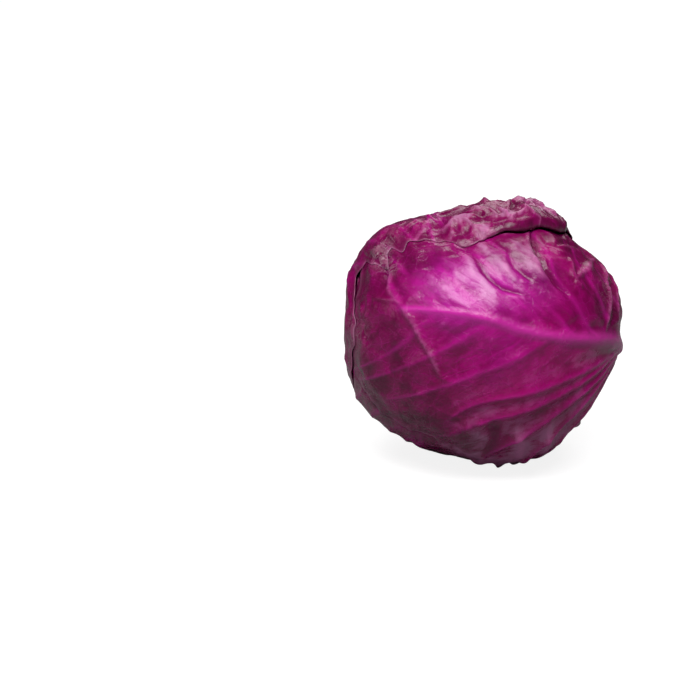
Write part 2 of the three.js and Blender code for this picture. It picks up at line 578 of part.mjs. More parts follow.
function heartSolid() {
  const corners = points.slice(1).map((way, p) => way.clone().multiplyScalar(heart[p + 1]));
  const faces = triangles.filter((t) => !t.includes(0)).map((t) => t.map((p) => p - 1));
  // The socket of the core goes in from the rim round the stem.
  let rim = Array.from({ length: STEM_SIDES }, (unused, i) => i);
  for (const [distance, radius] of STEM_PROFILE.slice(CORE_START)) {
    const next = ring([distance, radius + CORE_GAP]).map((corner) => corners.push(corner) - 1);
    faces.push(...band(rim, next));
    rim = next;
  }
  const tip = corners.push(STEM_AXIS.clone().multiplyScalar(STEM_PROFILE.at(-1)[0] - 2 - CORE_GAP)) - 1;
  faces.push(...fan(rim, tip));
  return solid("heart", corners, faces, 0x7a1c4e, 0.6);
}

function stemSolid() {
  const corners = [STEM_AXIS.clone().multiplyScalar(STEM_PROFILE[0][0] - 0.6)];
  const faces = [];
  let rim = null;
  for (const pair of STEM_PROFILE) {
    const next = ring(pair).map((corner) => corners.push(corner) - 1);
    faces.push(...(rim ? turned(band(rim, next)) : fan(next, 0)));
    rim = next;
  }
  const tip = corners.push(STEM_AXIS.clone().multiplyScalar(STEM_PROFILE.at(-1)[0] - 2)) - 1;
  faces.push(...turned(fan(rim, tip)));
  return solid("stem", corners, faces, 0xd8cfa8, 0.7);
}

const head = new THREE.Group();
head.name = "cabbage_head";
head.add(heartSolid(), stemSolid(), ...LEAVES.map(leafSolid));
head.position.z = HEAD_HEIGHT;

// Bring the middle of the whole head over the origin.
head.updateMatrixWorld(true);
const box = new THREE.Box3().setFromObject(head);
head.position.x -= (box.min.x + box.max.x) / 2;
head.position.y -= (box.min.y + box.max.y) / 2;
head.position.z -= box.min.z;

export default head;
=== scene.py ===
"""Looks of a whole red cabbage head: fine leaves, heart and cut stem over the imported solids.

The leaves use the same values as the part's source, in millimetres about the head's middle: each is a
thin shell whose faces are distances from that middle, stacked outwards one on another.
"""
import math

import bpy
import numpy as np
from mathutils import Matrix, Vector


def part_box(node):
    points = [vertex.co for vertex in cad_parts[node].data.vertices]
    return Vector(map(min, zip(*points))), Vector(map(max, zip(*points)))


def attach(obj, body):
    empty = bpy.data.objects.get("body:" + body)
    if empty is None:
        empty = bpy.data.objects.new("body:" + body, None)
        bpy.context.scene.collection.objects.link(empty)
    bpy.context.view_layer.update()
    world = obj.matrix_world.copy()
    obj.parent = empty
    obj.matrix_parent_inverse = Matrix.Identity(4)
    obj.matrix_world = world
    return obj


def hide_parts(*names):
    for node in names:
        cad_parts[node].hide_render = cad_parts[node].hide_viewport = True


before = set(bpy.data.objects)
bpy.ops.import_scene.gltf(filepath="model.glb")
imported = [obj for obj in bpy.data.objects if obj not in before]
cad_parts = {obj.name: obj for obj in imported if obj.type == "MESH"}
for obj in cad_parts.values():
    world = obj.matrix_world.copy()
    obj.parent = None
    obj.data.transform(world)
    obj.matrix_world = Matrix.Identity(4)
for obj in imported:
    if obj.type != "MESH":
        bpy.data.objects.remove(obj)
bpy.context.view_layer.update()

# Sizes of the head in millimetres.
HEART_RADIUS = 73.6
CHART_RADIUS = 80
STEM_CLEAR = 13                  # degrees round the stem that no leaf covers
STEM_HOLLOW = 7
GAP = 0.35
BLADE = 1.1
MARGIN_BLADE = 0.3
PETIOLE_BLADE = 3.0
CLOSE_MARGIN = 0.27              # how much closer a fine margin lies than the solid's
SPREAD = 16
RIB_WIDTH = 4.8
UNDERSIDE = 0.2                  # how steeply a direction points down where the head is pressed flat
MM = 0.001


def unit(v):
    v = np.asarray(v, float)
    return v / np.linalg.norm(v)


STEM_AXIS = unit((0.9013, 0.3801, -0.2076))
FRONT = np.array((0.4203, -0.8834, 0.2073))
FRONT = unit(FRONT - STEM_AXIS * (FRONT @ STEM_AXIS))
UPWARD = np.cross(FRONT, STEM_AXIS)

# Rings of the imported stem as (distance along its axis, radius): its box tells where the head's middle is.
STEM_RINGS = [
    (76.5, 14.4), (75.6, 15.8), (72, 15.8), (66, 14.3), (58, 12.6), (40, 9.6), (22, 7.2), (4, 4.6),
    (75.9, 0), (2, 0),
]
STEM_SIDES = 24


def head_middle():
    turns = np.arange(STEM_SIDES) * 2 * math.pi / STEM_SIDES
    points = np.array([distance * STEM_AXIS + radius * (math.cos(t) * FRONT + math.sin(t) * UPWARD)
                       for distance, radius in STEM_RINGS for t in turns])
    low, high = (np.array(corner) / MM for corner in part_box("stem"))
    return (low + high) / 2 - (points.min(0) + points.max(0)) / 2


HEAD_MIDDLE = head_middle()

# Hollows and bulges of the head: direction, millimetres, tightness.
MOUNDS = [
    ((0.67, 0.11, 0.74), -3.0, 16), ((0.09, 0.18, 0.98), 1.0, 16), ((-0.31, 0.17, 0.94), -4.5, 16),
    ((-0.76, 0.08, 0.64), 8.5, 16), ((-1.0, -0.1, 0.03), 2.0, 16), ((-0.86, -0.23, -0.45), 5.0, 16),
    ((-0.31, -0.36, -0.88), -3.5, 16), ((0.03, -0.37, -0.93), -0.6, 16), ((0.42, -0.34, -0.84), -0.3, 16),
    ((0.74, -0.28, -0.61), -2.6, 16), ((0.92, -0.2, -0.33), -2.0, 16), ((0.96, 0.07, 0.25), 2.8, 20),
    ((-0.09, 0.27, 0.95), -1.6, 24), ((-0.9, 0.12, 0.38), 1.4, 24), ((0.966, -0.07, -0.25), -1.5, 40),
]

# Ribs: side, start along the midrib, slope, curve, reach, height, half width.
FRONT_RIBS = [
    (-1, 2, 1.3, 0, 78, 0.8, 3.2), (-1, -85, 3.8, -0.027, 80, 1.0, 3.4),
    (-1, -75, 2.2, -0.0085, 98, 1.2, 3.6), (-1, -80, 1.85, -0.009, 104, 1.4, 3.8),
    (-1, -79, 1.45, -0.0088, 108, 1.5, 3.8), (-1, -84, 1.1, -0.0075, 108, 1.5, 3.8),
    (-1, -88, 0.72, -0.006, 106, 1.4, 3.6), (-1, 38, 1.25, 0, 80, 0.6, 2.8), (-1, 66, 1.1, 0, 70, 0.5, 2.6),
    (1, 36, 1.6, -0.015, 60, 0.6, 3.0), (1, 4, 1.3, -0.003, 84, 0.7, 3.2),
    (1, -14, 1.5, -0.009, 84, 0.7, 3.2), (1, -32, 1.3, -0.0105, 84, 0.8, 3.2),
    (1, -56, 1.25, -0.0095, 84, 0.9, 3.2), (1, -80, 1.3, -0.0095, 84, 1.0, 3.4),
    (1, 64, 1.0, 0, 60, 0.5, 2.6), (1, 92, 0.5, 0, 50, 0.6, 2.8),
]


def side_ribs(first, step, slope, curve, count, height, shift):
    made = []
    for i in range(count):
        for side in (-1, 1):
            low = math.exp(-i / 2.5)
            start = first + step * i + (shift if side > 0 else 0)
            high = height * (0.6 + 0.4 * low)
            made.append((side, start, slope + 1.4 * low, curve, 104 - 3 * i, high, 3.6 - 0.15 * i))
    return made


# Leaves from the inside out. azimuth and centre place a leaf's middle in degrees round and from the stem.
# margin is (degrees round the leaf from its stem side, degrees out). crumple, ridge and puff are the
# depth of dents, ribs and panels across the blade, mesh the squares along one side of its fine mesh.
# bend sways the midrib, wave and curl move the margin sideways and outwards, seed varies all of these,
# and the wax amount is the wax that lies on the whole leaf, to which soft patches further on add wax and
# painted sheen.
# A crease is a line of points (x towards the tip, y across) in millimetres, its height and its width.
LEAVES = [
    dict(name="wrapper_leaf_1", azimuth=-48.5, centre=88, seed=1, bend=5, wave=2.0, curl=1.5,
         crumple=(0.6, 0.6, 0.6, 0.6), ridge=(1, 1), puff=(0.7, 0.7), mesh=120, bloom=0.35,
         margin=[(0, 77), (40, 80), (90, 84), (140, 92), (180, 96), (220, 94), (270, 86), (320, 79)],
         ribs=side_ribs(-88, 24, 1.15, -0.006, 7, 1.3, 11), creases=[]),
    dict(name="wrapper_leaf_2", azimuth=89, centre=88, seed=2, bend=-6, wave=2.2, curl=1.5,
         crumple=(0.6, 0.6, 0.6, 0.6), ridge=(1, 1), puff=(0.7, 0.7), mesh=130, bloom=0.35,
         margin=[(0, 77), (40, 80), (90, 86), (140, 90), (180, 94), (220, 94), (270, 84), (320, 79)],
         ribs=side_ribs(-86, 25, 1.1, -0.007, 7, 1.3, -9), creases=[]),
    dict(name="wrapper_leaf_3", azimuth=-133.5, centre=88, seed=3, bend=7, wave=2.4, curl=1.2,
         crumple=(0.6, 0.6, 0.6, 0.6), ridge=(1.2, 1.2), puff=(0.6, 0.6), mesh=170, bloom=0.35,
         margin=[(0, 77), (40, 79), (90, 87), (140, 93), (180, 90), (220, 95), (270, 88), (320, 79)],
         ribs=side_ribs(-88, 22, 1.05, -0.006, 8, 1.5, 9), creases=[]),
    dict(name="wrapper_leaf_4", azimuth=4, centre=88, seed=4, bend=0, wave=1.6, curl=1.3,
         crumple=(0.5, 0.3, 0.5, 1.2), ridge=(1.9, 0.3), puff=(0.3, 1.7), mesh=220, bloom=0.08,
         margin=[(0, 77), (30, 74), (65, 64), (90, 66), (112, 73), (132, 86), (158, 100), (185, 102),
                 (203, 101), (213, 96), (219, 92), (224, 87), (229, 85), (234, 79), (239, 75), (245, 76),
                 (252, 80), (263, 80), (271, 79), (277, 82), (281, 80), (285, 82), (291, 77), (297, 72),
                 (302, 63), (309, 61), (318, 66), (335, 70)],
         ribs=FRONT_RIBS,
         creases=[
             ([(60, 52), (54, 45), (49, 38), (45, 29), (41, 25), (34, 21), (28, 18), (20, 14)], -1.5, 2.4),
             ([(8, 66), (8, 59), (9, 52), (12, 41), (10, 33), (4, 29), (-1, 24), (-6, 18)], -2.6, 2.2),
             ([(32, 40), (27, 32), (21, 27), (17, 23)], -1.1, 2.2),
             ([(46, 54), (38, 46), (34, 38), (30, 30), (24, 24)], 1.2, 5.0),
             ([(28, 52), (22, 42), (17, 34), (10, 24)], 1.1, 4.5),
             ([(2, 50), (-4, 46), (-12, 44)], 0.9, 1.6),
             ([(0, 54), (-8, 50), (-18, 50)], 0.9, 1.8),
             ([(130, 18), (128, 4), (130, -10)], 0.9, 1.6),
             ([(122, 20), (121, 6), (125, -8), (124, -22)], 1.0, 1.7),
             ([(112, 12), (117, -4), (122, -16)], 0.8, 1.8),
             ([(98, 12), (86, -2), (79, -14), (70, -28), (58, -41)], 1.4, 2.8),
             ([(98, 12), (103, 26), (107, 45)], 1.3, 3.0),
             ([(94, 10), (104, 14), (116, 16)], 1.0, 2.8),
             ([(-36, 2), (-42, 15), (-48, 36), (-60, 54)], 1.8, 2.2),
             ([(-50, 8), (-56, 22), (-62, 38), (-70, 48)], 1.6, 2.2),
             ([(-44, 6), (-49, 20), (-55, 36)], -1.2, 2.2),
             ([(-10, 27), (-9, 34), (-12, 43)], 1.2, 2.2),
             ([(-10, 27), (-17, 23)], 1.0, 2.0),
             ([(-10, 27), (-22, 37), (-38, 48), (-50, 52)], 1.6, 3.0),
             ([(-4, 50), (-22, 58), (-36, 60)], -1.4, 3.0),
             ([(80, 52), (64, 50), (48, 56)], 1.0, 3.0),
             ([(8, -60), (-2, -78), (-14, -96)], 1.6, 5.0),
             ([(-12, -58), (-24, -74), (-34, -86)], 1.6, 5.0),
             ([(24, -60), (18, -80), (12, -96)], -1.2, 5.0),
         ]),
    dict(name="wrapper_leaf_5", azimuth=145, centre=90, seed=5, bend=-6, wave=1.5, curl=0.2,
         crumple=(2.6, 0.9, 0.8, 0.8), ridge=(0.7, 1.2), puff=(1, 0.6), mesh=220, bloom=0.12,
         margin=[(0, 78), (60, 86), (90, 91), (120, 94), (150, 92), (166, 92), (174, 88), (181, 77),
                 (187, 71), (195, 70), (199, 78), (203, 86), (206, 80), (209, 79), (212, 84), (216, 81),
                 (222, 85), (228, 92), (235, 98), (244, 100), (254, 99), (262, 98), (271, 96), (284, 92),
                 (297, 79), (312, 72), (335, 74)],
         ribs=side_ribs(-87, 23, 1.1, -0.006, 8, 1.3, -10),
         creases=[
             ([(58, -94), (52, -101), (48, -107), (47, -113)], -2.4, 2.4),
             ([(86, -82), (74, -92), (64, -99)], 2.0, 2.6),
             ([(60, -103), (60, -113), (56, -119), (53, -126), (48, -131), (42, -134)], 2.0, 2.2),
             ([(29, -112), (29, -119), (30, -124), (28, -130)], 2.0, 2.2),
             ([(4, -98), (8, -106), (19, -118), (24, -122)], -2.4, 2.2),
             ([(-8, -100), (4, -114), (5, -121), (2, -126)], -2.2, 2.0),
             ([(10, -118), (5, -124), (0, -128), (3, -134)], 1.8, 2.0),
             ([(30, -127), (18, -127), (8, -122)], 1.6, 2.0),
             ([(-16, -92), (-24, -98), (-28, -106)], 1.4, 2.2),
             ([(-12, -90), (-18, -105), (-26, -121)], 1.6, 2.6),
             ([(-2, -96), (-8, -110), (-12, -124)], 1.2, 2.4),
             ([(10, -72), (14, -82), (20, -94)], 1.4, 3.0),
             ([(76, -108), (60, -112), (40, -124)], -1.2, 2.8),
             ([(44, -94), (36, -108), (38, -122)], 1.2, 2.6),
             ([(2, -92), (-14, -104), (-26, -112)], 3.6, 11),
             ([(96, -70), (84, -76), (70, -80)], 1.4, 3.0),
             ([(92, -60), (80, -66), (62, -70), (46, -68)], -1.6, 3.2),
         ]),
]
FOLD_LIP = 0.4
# Waves of the front leaf's lower margin: degrees round the leaf, half width, millimetres out.
FRILLS = [(266, 3.5, 2), (276.5, 4, 4.2), (285, 3.5, 3.2), (293.5, 4, 2), (301, 4, 2.4), (313, 5, 2.4)]
# The free edge on top: where it starts and ends round its leaf, and how it rolls outwards.
FLAP = dict(leaf="wrapper_leaf_5", start=236, end=289, blend=22, height=10, lip=0.15, swell=5, decay=6)


def smooth(value):
    t = np.clip(value, 0.0, 1.0)
    return t * t * (3 - 2 * t)


for leaf in LEAVES:
    a, c = math.radians(leaf["azimuth"]), math.radians(leaf["centre"])
    side = math.cos(a) * FRONT + math.sin(a) * UPWARD
    leaf["middle"] = math.cos(c) * STEM_AXIS + math.sin(c) * side
    leaf["to_stem"] = unit(STEM_AXIS - leaf["middle"] * (STEM_AXIS @ leaf["middle"]))
    leaf["across"] = -math.sin(a) * FRONT + math.cos(a) * UPWARD


def reach(leaf, angle):
    """How many degrees a leaf reaches out from its middle."""
    around = np.mod(angle, 360.0)
    points = list(leaf["margin"]) + [(360, leaf["margin"][0][1])]
    out = np.zeros_like(around)
    for (a0, r0), (a1, r1) in zip(points, points[1:]):
        here = (around >= a0) & (around <= a1)
        out = np.where(here, r0 + (r1 - r0) * smooth((around - a0) / (a1 - a0)), out)
    t = np.radians(around)
    k = leaf["seed"]
    away = smooth((np.minimum(around, 360 - around) - 25) / 50.0)
    ripple = 0.55 * np.sin(17 * t + 1.3 * k) + 0.45 * np.sin(29 * t + 2.1 * k) * np.sin(3 * t + k)
    return out + leaf["wave"] * away * ripple


def place(leaf, way):
    """Leaf coordinates: x towards the tip, y across, millimetres inside the margin, angles."""
    out = np.degrees(np.arccos(np.clip(way @ leaf["middle"], -1, 1)))
    angle = np.degrees(np.arctan2(way @ leaf["across"], way @ leaf["to_stem"]))
    arc = np.radians(out) * CHART_RADIUS
    from_stem = np.degrees(np.arccos(np.clip(way @ STEM_AXIS, -1, 1)))
    inside = np.radians(np.minimum(reach(leaf, angle) - out, from_stem - STEM_CLEAR)) * CHART_RADIUS
    turned = np.radians(angle)
    return -arc * np.cos(turned), arc * np.sin(turned), inside, angle, from_stem


def midline(leaf, x):
    if leaf["ribs"] is FRONT_RIBS:
        return -4 + 12 * smooth((x - 10) / 95.0)
    return leaf["bend"] * np.sin(x / 55.0 + leaf["seed"])


def between(pair, y):
    """A value that differs below and above the midrib."""
    return pair[0] + (pair[1] - pair[0]) * smooth((y + 12) / 24)


def scatter(seed, i, j):
    """A fixed random number from -1 to 1 for each corner of a square net."""
    wild = np.sin(i * 127.1 + j * 311.7 + seed * 74.7) * 4375.85
    return 2 * (wild - np.floor(wild)) - 1


def lattice(seed, x, y, size):
    """Smooth random heights from -1 to 1 over slanted squares of a given size."""
    u, v = (0.8 * x + 0.6 * y) / size + 0.37 * seed, (0.8 * y - 0.6 * x) / size
    i, j = np.floor(u), np.floor(v)
    fu, fv = smooth(u - i), smooth(v - j)
    low = scatter(seed, i, j) * (1 - fu) + scatter(seed, i + 1, j) * fu
    high = scatter(seed, i, j + 1) * (1 - fu) + scatter(seed, i + 1, j + 1) * fu
    return low * (1 - fv) + high * fv


def ribs(leaf, x, y):
    """Rib height, the keel under it, distance to the nearest, and masks of veins, midrib and its core."""
    k = leaf["seed"]
    xw = x + 2.0 * np.sin(y / 13 + k) + 1.2 * np.sin(y / 6.1 + x / 17)
    w = y + 1.5 * np.sin(x / 15 + 2 * k) - midline(leaf, x)
    along = np.clip((x + 112) / 212, 0, 1)
    left = 1 - along
    fade = 1 - smooth((along - 0.93) / 0.07)
    half = 9 * left ** 1.4 + 2.8
    middle = (1 - smooth(np.abs(w) / half)) * fade
    height = (3.4 * left ** 2 + 0.7) * middle
    keel = (0.9 + 1.3 * left) * fade * np.exp(-(w / (6 + 6 * left)) ** 2)
    line = np.exp(-(w / (2.0 + 4 * left ** 2)) ** 2) * fade * (0.75 + 0.3 * lattice(30 + k, x, y, 18))
    core = np.exp(-(w / (2.6 + 4 * left ** 2)) ** 2) * fade * (1 - 0.65 * left)
    nearest = np.maximum(np.abs(w) - half * 0.3, 0) + 20 * (1 - fade)
    ridge = between(leaf["ridge"], y)
    for side, start, slope, curve, end, high, wide in leaf["ribs"]:
        s = w * side
        sc = np.clip(s, 0, end)
        lean = slope + 2 * curve * sc
        distance = np.abs(xw - (start + slope * sc + curve * sc * sc)) / np.sqrt(1 + lean * lean)
        distance = np.where(s < 0, np.hypot(distance, s), distance)
        thin = 1 - 0.45 * (sc / end)
        stay = 1 - smooth((s - end + 18) / 18)
        rise = 0.5 * high * thin * stay * (1 - smooth(distance / (wide * thin)))
        height = np.maximum(height, rise) + 0.25 * np.minimum(height, rise)
        keel = np.maximum(keel, ridge * high * thin * stay * np.exp(-(distance / RIB_WIDTH) ** 2))
        vein = np.exp(-(distance / (1.9 * thin)) ** 2) * stay * (0.5 + 0.5 * high / 1.5)
        line = np.maximum(line, vein * (0.65 + 0.5 * lattice(40 + k, x, y, 15)))
        nearest = np.minimum(nearest, distance + 14 * (1 - stay))
    return height, keel, nearest, line, middle, core


def creases(leaf, x, y):
    """Grooves and folds across the blade."""
    xw = x + 1.1 * np.sin(y / 4.7) + 0.8 * np.sin(x / 3.9 + y / 7)
    yw = y + 1.1 * np.sin(x / 5.3 + 1)
    total = np.zeros_like(x)
    for points, high, wide in leaf["creases"]:
        best = np.full_like(x, 1e9)
        along = np.zeros_like(x)
        side = np.zeros_like(x)
        count = len(points) - 1
        for i in range(count):
            (x0, y0), (x1, y1) = points[i], points[i + 1]
            vx, vy = x1 - x0, y1 - y0
            t = np.clip(((xw - x0) * vx + (yw - y0) * vy) / (vx * vx + vy * vy), 0, 1)
            distance = np.hypot(xw - x0 - t * vx, yw - y0 - t * vy)
            closer = distance < best
            best = np.where(closer, distance, best)
            along = np.where(closer, (i + t) / count, along)
            side = np.where(closer, np.sign(vx * (yw - y0) - vy * (xw - x0)) * distance, side)
        taper = np.sqrt(np.clip(1 - np.abs(2 * along - 1) ** 3, 0, 1))
        narrow = wide * (0.4 + 0.6 * taper) * 0.8
        lip = FOLD_LIP * np.exp(-((side - 2 * narrow) / (1.4 * narrow)) ** 2) if high < 0 else 0
        total += high * taper * (np.exp(-(best / narrow) ** 2) - lip)
    return total


def crumple(leaf, x, y):
    """Small dents with sharp crests between them, deepest where the blade is free."""
    k = leaf["seed"] * 10
    u = x + 3 * lattice(k + 1, x, y, 14)
    v = y + 3 * lattice(k + 2, x, y, 14)
    broad = 1 - 2 * np.abs(lattice(k + 3, u, v, 17))
    small = 1 - 2 * np.abs(lattice(k + 4, u + v, v - u, 12))
    return 0.55 * broad + 0.35 * small - 0.3


def waves(leaf, x, y):
    k = leaf["seed"]
    return 0.9 * (1 + 0.5 * np.sin(x / 16 + 1.7 * k) * np.sin(y / 14 + 0.9 * k)
                  + 0.3 * np.sin(x / 9 - y / 12 + 2.3 * k) + 0.2 * np.sin(x / 7 + y / 6 + 0.4 * k))


def flap_window(angle):
    around = np.mod(angle, 360)
    opening = smooth((around - FLAP["start"]) / FLAP["blend"])
    return opening * (1 - smooth((around - FLAP["end"]) / FLAP["blend"]))


def curl(leaf, inside, angle):
    """How far a margin stands off what it lies on."""
    depth = np.clip(inside, 0, 90)
    t = np.radians(angle)
    k = leaf["seed"]
    wavy = 0.45 + 0.35 * np.sin(9 * t + k) + 0.25 * np.sin(16 * t + 2 * k)
    plain = leaf["curl"] * np.maximum(wavy, 0) * np.exp(-depth / 9)
    around = np.mod(angle, 360)
    if leaf["ribs"] is FRONT_RIBS:
        for middle, wide, high in FRILLS:
            plain = plain + high * np.exp(-((around - middle) / wide) ** 2) * np.exp(-depth / 8)
    if leaf["name"] != FLAP["leaf"]:
        return plain
    window = flap_window(angle)
    roll = (FLAP["lip"] + depth / FLAP["swell"]) * np.exp(-depth / FLAP["decay"])
    return plain * (1 - window) + window * FLAP["height"] * roll


def heart_radius(way):
    radius = HEART_RADIUS - STEM_HOLLOW * np.exp((way @ STEM_AXIS - 1) / 0.1)
    for mound, amount, tight in MOUNDS:
        radius = radius + amount * np.exp((way @ unit(mound) - 1) * tight)
    return radius


def stack(way):
    """The heart's radius and, leaf by leaf, inner and outer radius and what colours the surface."""
    spots = [place(leaf, way) for leaf in LEAVES]
    rest = heart_radius(way) + GAP
    rows = []
    for i, leaf in enumerate(LEAVES):
        x, y, inside, angle, from_stem = spots[i]
        over = np.zeros_like(x)
        for spot in spots[i + 1:]:
            over = np.maximum(over, smooth((spot[2] + 4) / 12))
        free = 1 - 0.85 * over
        height, keel, nearest, line, middle, core = ribs(leaf, x, y)
        folds = creases(leaf, x, y)
        panel = between(leaf["puff"], y) * (1 - np.exp(-(nearest / 6.5) ** 2))
        depth = np.interp(y, (-70, -35, 25, 50), leaf["crumple"])
        dents = crumple(leaf, x, y) * depth
        rise = waves(leaf, x, y) * (0.4 + 0.6 * free) + (panel + keel + folds + dents + 1.2) * free
        lift = np.maximum(rise, 0) * (0.04 + 0.96 * smooth(inside / 16)) + curl(leaf, inside, angle) * free
        margin = smooth(inside / 9)
        blade = (MARGIN_BLADE + (BLADE - MARGIN_BLADE) * smooth(inside / 5)
                 + PETIOLE_BLADE * np.exp(-np.clip(from_stem - STEM_CLEAR, 0, 90) / 7))
        thick = blade + height * free * (0.25 + 0.75 * margin)
        cover = smooth(1 + (inside + 1) / SPREAD)
        close = CLOSE_MARGIN * (1 - smooth(inside / 5))
        rows.append(dict(inner=rest + lift - close, outer=rest + lift + thick - close, cover=cover,
                         x=x, y=y, inside=inside, from_stem=from_stem, line=line,
                         middle=middle, core=core, nearest=nearest, folds=folds,
                         crest=0.58 - 0.11 * depth + 0.4 * dents + 0.3 * folds,
                         flap=flap_window(angle) if leaf["name"] == FLAP["leaf"] else 0 * angle))
        rest = rest + cover * (lift + thick + GAP)
    # The head's weight presses what is lowest flat, each leaf on the one below it.
    low = way[:, 2] < -UNDERSIDE
    down = np.maximum(-way[:, 2], UNDERSIDE)
    floor = np.zeros(len(way))
    middle_height = HEAD_MIDDLE[2]
    for row in reversed(rows):
        row["outer"] = np.where(low, np.minimum(row["outer"], (middle_height - floor) / down), row["outer"])
        row["inner"] = np.where(low, np.minimum(row["inner"], (middle_height - floor - BLADE) / down),
                                row["inner"])
        floor = floor + row["cover"] * (BLADE + GAP)
    heart = heart_radius(way)
    return np.where(low, np.minimum(heart, (middle_height - floor) / down), heart), rows


def outline(leaf, angle):
    """Degrees out to the rim of a leaf's blade, which the bare ring round the stem cuts short."""
    full = reach(leaf, angle)
    t = np.radians(angle)
    c = math.radians(leaf["centre"])
    a, b = math.cos(c), math.sin(c) * np.cos(t)
    size = np.hypot(a, b)
    ring = math.cos(math.radians(STEM_CLEAR + 0.1))
    crossing = np.degrees(np.arctan2(b, a) - np.arccos(np.clip(ring / size, -1, 1)))
    return np.where((size > ring) & (b > 0), np.minimum(full, crossing), full)


def deselect():
    if bpy.context.object and bpy.context.object.mode != "OBJECT":
        bpy.ops.object.mode_set(mode="OBJECT")
    bpy.ops.object.select_all(action="DESELECT")


def grid(name, columns, rows):
    """A flat grid from -1 to 1 to be shaped by its corners' places."""
    deselect()
    bpy.ops.mesh.primitive_grid_add(x_subdivisions=columns, y_subdivisions=rows, size=2)
    piece = bpy.context.object
    piece.name = piece.data.name = name
    return piece


def corners(piece):
    co = np.zeros(len(piece.data.vertices) * 3)
    piece.data.vertices.foreach_get("co", co)
    return co.reshape(-1, 3)


def move_corners(piece, co):
    piece.data.vertices.foreach_set("co", (np.asarray(co) * MM).ravel())
    piece.data.update()


def paint(piece, masks):
    """Values at each corner that the material reads, by name."""
    for name, values in masks.items():
        layer = piece.data.attributes.new(name, "FLOAT", "POINT")
        layer.data.foreach_set("value", np.full(len(piece.data.vertices), values, np.float32))


def round_disc(u, v):
    """A square from -1 to 1 turned into a disc: distance out from 0 to 1 and angle in degrees."""
    out = np.maximum(np.abs(u), np.abs(v))
    safe = np.maximum(out, 1e-9)
    wide = np.abs(u) >= np.abs(v)
    angle = np.where(wide, np.where(u >= 0, 45 * v / safe, 180 - 45 * v / safe),
                     np.where(v >= 0, 90 - 45 * u / safe, 270 + 45 * u / safe))
    return out, angle


# Soft patches of the skin: direction, amount, tightness. First where wax lies thick, partly painted sheen:
# wax laid thicker where the key lamp's highlight falls on the front and the back lamp's on the top flap.
WAX_AND_SHEEN_PATCHES = [
    ((0.45, -0.50, -0.75), 0.95, 6), ((0.02, -0.34, 0.94), 0.5, 26), ((-0.26, -0.80, 0.54), 0.5, 30),
    ((0.05, -0.78, 0.62), 0.55, 30), ((0.22, -0.70, 0.68), 0.4, 50),
    ((0.80, -0.58, -0.15), 0.35, 14), ((-0.40, -0.25, 0.88), 0.3, 20), ((0.2, 0.9, 0.3), 0.5, 3),
    ((-0.30, -0.75, -0.60), 0.6, 14), ((0.05, -0.70, -0.70), 0.35, 20),
]
# Painted shade: where the leaf is painted deep crimson, nearly black, at the head's sides, its lower left
# and round the top flap.
SHADE_PATCHES = [
    ((-0.70, -0.71, 0.09), 0.8, 22), ((-0.62, -0.72, -0.31), 0.85, 12), ((-0.48, -0.69, -0.54), 0.5, 14),
    ((0.87, -0.42, 0.26), 0.9, 30), ((-0.88, -0.25, 0.40), 0.8, 30), ((0.44, -0.10, 0.89), 1.0, 22),
    ((-0.67, -0.37, 0.64), 0.7, 50), ((-0.62, 0.18, 0.76), 0.7, 14), ((0.72, -0.60, 0.34), 0.5, 24),
    ((0.08, -0.62, 0.78), 0.6, 60), ((0.60, -0.30, 0.74), 0.5, 40), ((-0.95, -0.20, -0.20), 0.7, 8),
    ((-0.53, -0.50, 0.68), 0.7, 70), ((0.30, -0.74, 0.58), 0.35, 90), ((-0.20, -0.02, 0.98), 0.6, 20),
]
# Where thin skin is torn and pale.
TORN = [
    ((-0.72, -0.22, 0.66), 0.9, 260), ((-0.75, -0.27, 0.60), 0.8, 400), ((-0.70, -0.42, 0.58), 0.7, 500),
    ((-0.82, -0.42, -0.28), 0.4, 120), ((0.82, -0.38, 0.40), 0.3, 120), ((-0.53, -0.70, -0.45), 0.2, 60),
    ((-0.93, -0.35, 0.10), 0.5, 90), ((0.30, -0.58, 0.75), 0.35, 160),
]
# Painted highlight: where the key lamp's highlight falls on the front, the leaf is painted light and
# violet.
HIGHLIGHT_PATCHES = [
    ((-0.28, -0.82, 0.49), 0.75, 34), ((-0.02, -0.82, 0.57), 0.8, 34), ((0.25, -0.78, 0.57), 0.4, 44),
    ((-0.50, -0.62, 0.60), 0.3, 60), ((0.10, -0.98, 0.15), 0.2, 60),
]


def patches_at(way, patches):
    total = np.zeros(len(way))
    for patch, amount, tight in patches:
        total += amount * np.exp((way @ unit(patch) - 1) * tight)
    return total


def share(values):
    return np.clip(values, 0, 1)


# What the leaf's material reads at each corner.
LEAF_MASKS = ("line", "core", "petiole", "rim", "panel", "bloom", "deep", "painted_highlight", "torn", "pale", "fold",
              "crest")


